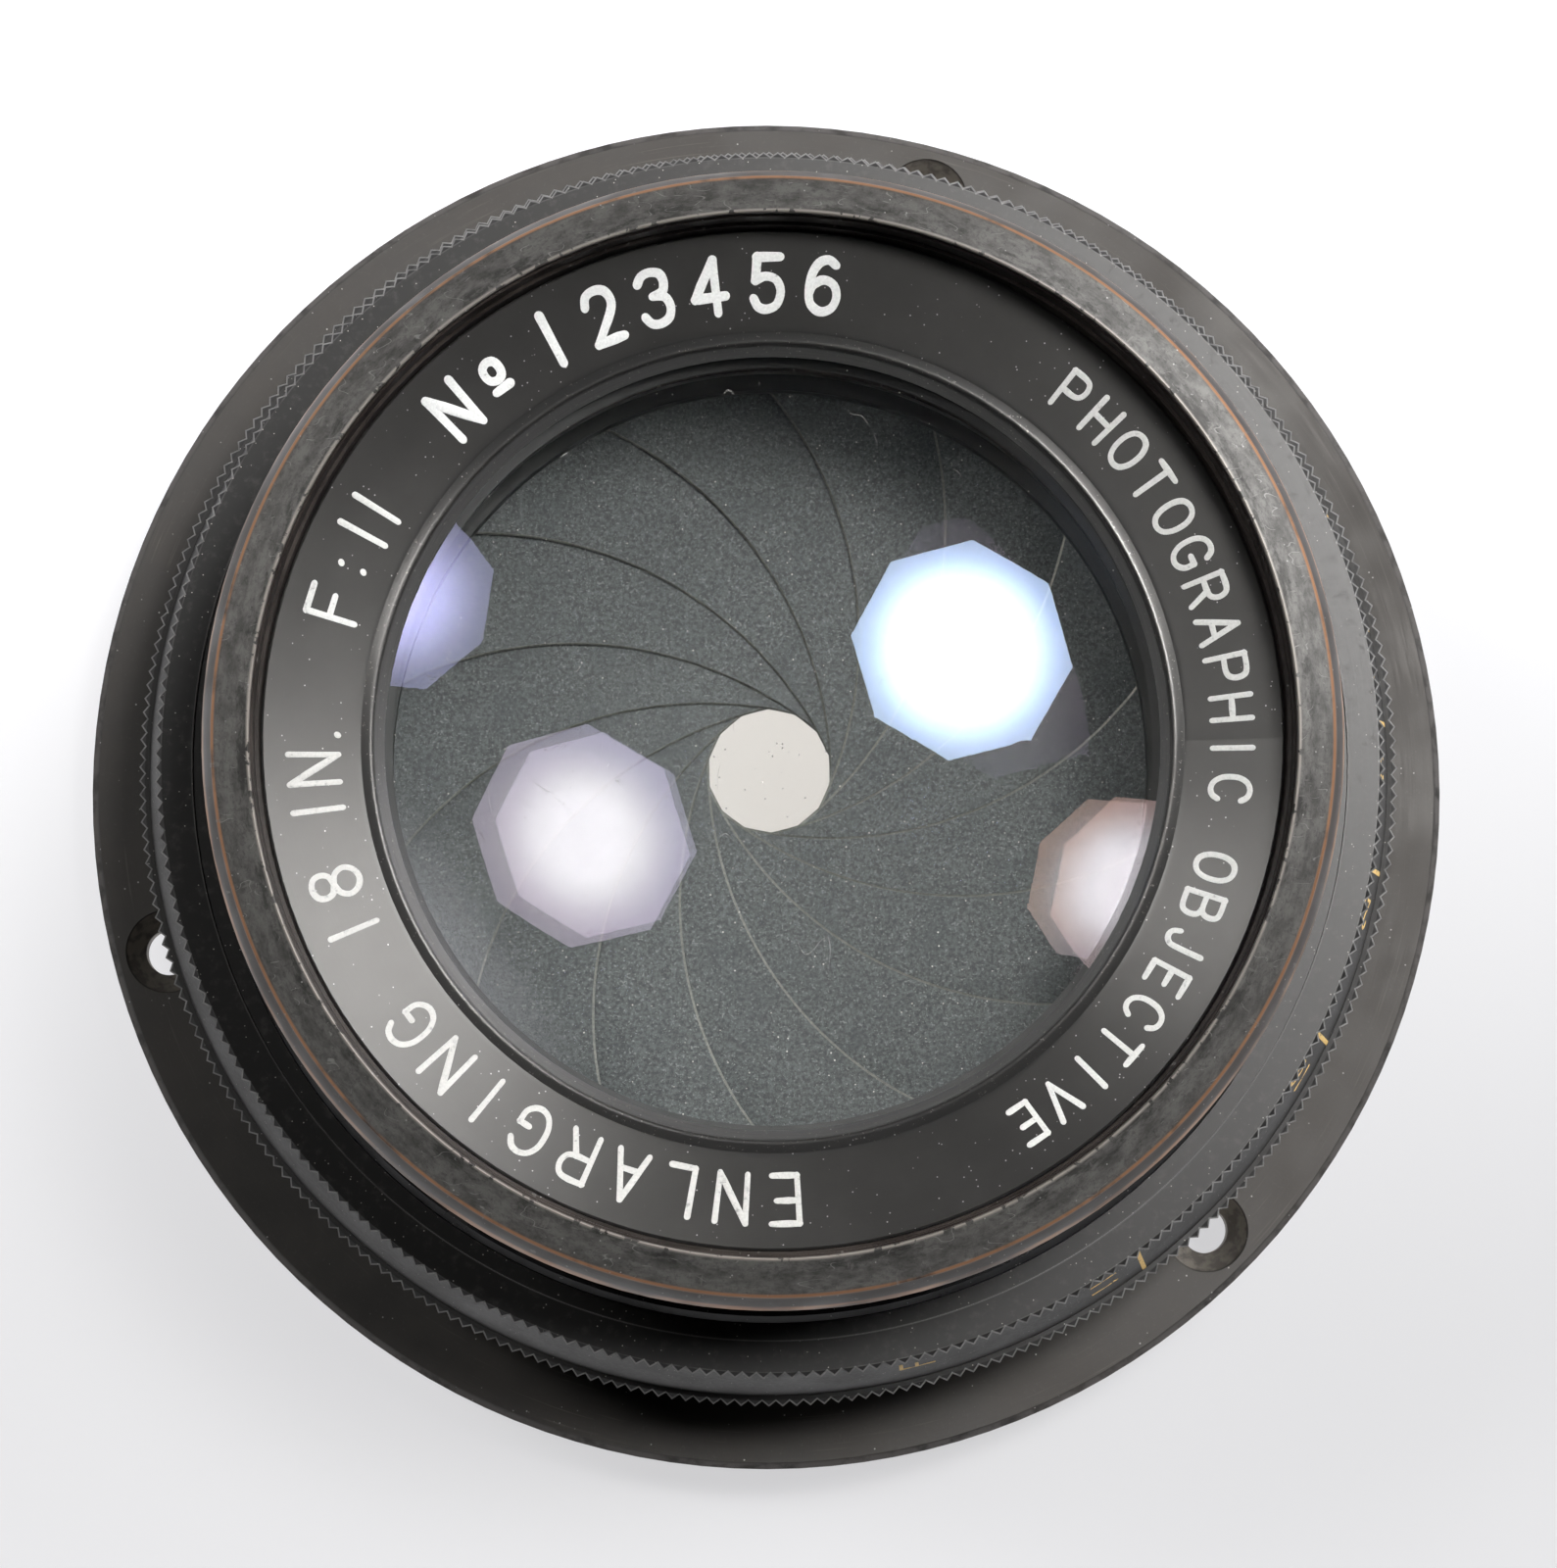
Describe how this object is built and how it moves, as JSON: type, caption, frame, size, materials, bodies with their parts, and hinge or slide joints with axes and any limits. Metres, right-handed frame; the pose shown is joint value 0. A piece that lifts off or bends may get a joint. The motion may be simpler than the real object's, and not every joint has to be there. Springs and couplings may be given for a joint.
{
  "type": "enlarger lens",
  "caption": "Large black barrel lens for an enlarger or copy camera: flange with countersunk holes, knurled aperture ring, dished front ring, coated glass and a working iris.",
  "frame": {"origin": "on the lens axis, in the rear face of the mounting flange, which seats on the lens board", "axes": "+Z along the lens axis towards the front glass; -Z towards the rear cell; +Y towards the top flange hole side"},
  "size_m": [0.0888, 0.0888, 0.0577],
  "materials": {
    "barrel_black": "gloss black paint on brass",
    "flange_black": "satin black, faint turning marks",
    "cell_black": "black over brass, worn through at the rim edges",
    "name_ring_black": "satin black, lathe turned, with white filled engraving",
    "ring_grey": "dark grey satin with worn knurling and yellow filled scale",
    "inner_black": "matt black",
    "blade_steel": "mottled dark grey-green blued steel",
    "pin_steel": "plain steel",
    "screw_steel": "blackened steel",
    "coated_glass": "polished and coated, with blue, purple and amber reflections"
  },
  "bodies": {
    "lens_body": {"main_barrel": "barrel_black", "mounting_flange": "flange_black", "front_cell": "cell_black", "name_ring": "name_ring_black", "front_outer_element": "coated_glass", "front_spacer_ring": "inner_black", "front_inner_element": "coated_glass", "rear_cell": "cell_black", "rear_outer_element": "coated_glass", "rear_spacer_ring": "inner_black", "rear_inner_element": "coated_glass", "rear_retaining_ring": "inner_black", "iris_pivot_ring": "inner_black", "iris_retaining_ring": "inner_black"},
    "aperture_ring": {"aperture_ring": "ring_grey", "iris_cam_ring": "inner_black", "aperture_drive_screw": "screw_steel"},
    "blade_01": {"iris_blade_01": "blade_steel", "iris_pins_01": "pin_steel"},
    "blade_02": {"iris_blade_02": "blade_steel", "iris_pins_02": "pin_steel"},
    "blade_03": {"iris_blade_03": "blade_steel", "iris_pins_03": "pin_steel"},
    "blade_04": {"iris_blade_04": "blade_steel", "iris_pins_04": "pin_steel"},
    "blade_05": {"iris_blade_05": "blade_steel", "iris_pins_05": "pin_steel"},
    "blade_06": {"iris_blade_06": "blade_steel", "iris_pins_06": "pin_steel"},
    "blade_07": {"iris_blade_07": "blade_steel", "iris_pins_07": "pin_steel"},
    "blade_08": {"iris_blade_08": "blade_steel", "iris_pins_08": "pin_steel"},
    "blade_09": {"iris_blade_09": "blade_steel", "iris_pins_09": "pin_steel"},
    "blade_10": {"iris_blade_10": "blade_steel", "iris_pins_10": "pin_steel"},
    "blade_11": {"iris_blade_11": "blade_steel", "iris_pins_11": "pin_steel"},
    "blade_12": {"iris_blade_12": "blade_steel", "iris_pins_12": "pin_steel"},
    "blade_13": {"iris_blade_13": "blade_steel", "iris_pins_13": "pin_steel"},
    "blade_14": {"iris_blade_14": "blade_steel", "iris_pins_14": "pin_steel"}
  },
  "joints": [
    {"name": "aperture_turn", "type": "hinge", "parent": "lens_body", "child": "aperture_ring", "pos_m": [0, 0, 0.0211], "axis": [0, 0, 1], "range_deg": [-5.28, 72.44]},
    {"name": "blade_01_swing", "type": "hinge", "parent": "lens_body", "child": "blade_01", "pos_m": [0.02601, 0.00451, 0.0227], "axis": [0, 0, 1], "range_deg": [-2.65, 36.23]},
    {"name": "blade_02_swing", "type": "hinge", "parent": "lens_body", "child": "blade_02", "pos_m": [0.02148, 0.01535, 0.0227], "axis": [0, 0, 1], "range_deg": [-2.65, 36.23]},
    {"name": "blade_03_swing", "type": "hinge", "parent": "lens_body", "child": "blade_03", "pos_m": [0.01269, 0.02315, 0.0227], "axis": [0, 0, 1], "range_deg": [-2.65, 36.23]},
    {"name": "blade_04_swing", "type": "hinge", "parent": "lens_body", "child": "blade_04", "pos_m": [0.00139, 0.02636, 0.0227], "axis": [0, 0, 1], "range_deg": [-2.65, 36.23]},
    {"name": "blade_05_swing", "type": "hinge", "parent": "lens_body", "child": "blade_05", "pos_m": [-0.01018, 0.02436, 0.0227], "axis": [0, 0, 1], "range_deg": [-2.65, 36.23]},
    {"name": "blade_06_swing", "type": "hinge", "parent": "lens_body", "child": "blade_06", "pos_m": [-0.01974, 0.01753, 0.0227], "axis": [0, 0, 1], "range_deg": [-2.65, 36.23]},
    {"name": "blade_07_swing", "type": "hinge", "parent": "lens_body", "child": "blade_07", "pos_m": [-0.02539, 0.00723, 0.0227], "axis": [0, 0, 1], "range_deg": [-2.65, 36.23]},
    {"name": "blade_08_swing", "type": "hinge", "parent": "lens_body", "child": "blade_08", "pos_m": [-0.02601, -0.00451, 0.0227], "axis": [0, 0, 1], "range_deg": [-2.65, 36.23]},
    {"name": "blade_09_swing", "type": "hinge", "parent": "lens_body", "child": "blade_09", "pos_m": [-0.02148, -0.01535, 0.0227], "axis": [0, 0, 1], "range_deg": [-2.65, 36.23]},
    {"name": "blade_10_swing", "type": "hinge", "parent": "lens_body", "child": "blade_10", "pos_m": [-0.01269, -0.02315, 0.0227], "axis": [0, 0, 1], "range_deg": [-2.65, 36.23]},
    {"name": "blade_11_swing", "type": "hinge", "parent": "lens_body", "child": "blade_11", "pos_m": [-0.00139, -0.02636, 0.0227], "axis": [0, 0, 1], "range_deg": [-2.65, 36.23]},
    {"name": "blade_12_swing", "type": "hinge", "parent": "lens_body", "child": "blade_12", "pos_m": [0.01018, -0.02436, 0.0227], "axis": [0, 0, 1], "range_deg": [-2.65, 36.23]},
    {"name": "blade_13_swing", "type": "hinge", "parent": "lens_body", "child": "blade_13", "pos_m": [0.01974, -0.01753, 0.0227], "axis": [0, 0, 1], "range_deg": [-2.65, 36.23]},
    {"name": "blade_14_swing", "type": "hinge", "parent": "lens_body", "child": "blade_14", "pos_m": [0.02539, -0.00723, 0.0227], "axis": [0, 0, 1], "range_deg": [-2.65, 36.23]}
  ],
  "couplings": [
    {"joint": "blade_01_swing", "follows": "aperture_turn", "ratio": 0.5},
    {"joint": "blade_02_swing", "follows": "aperture_turn", "ratio": 0.5},
    {"joint": "blade_03_swing", "follows": "aperture_turn", "ratio": 0.5},
    {"joint": "blade_04_swing", "follows": "aperture_turn", "ratio": 0.5},
    {"joint": "blade_05_swing", "follows": "aperture_turn", "ratio": 0.5},
    {"joint": "blade_06_swing", "follows": "aperture_turn", "ratio": 0.5},
    {"joint": "blade_07_swing", "follows": "aperture_turn", "ratio": 0.5},
    {"joint": "blade_08_swing", "follows": "aperture_turn", "ratio": 0.5},
    {"joint": "blade_09_swing", "follows": "aperture_turn", "ratio": 0.5},
    {"joint": "blade_10_swing", "follows": "aperture_turn", "ratio": 0.5},
    {"joint": "blade_11_swing", "follows": "aperture_turn", "ratio": 0.5},
    {"joint": "blade_12_swing", "follows": "aperture_turn", "ratio": 0.5},
    {"joint": "blade_13_swing", "follows": "aperture_turn", "ratio": 0.5},
    {"joint": "blade_14_swing", "follows": "aperture_turn", "ratio": 0.5}
  ]
}
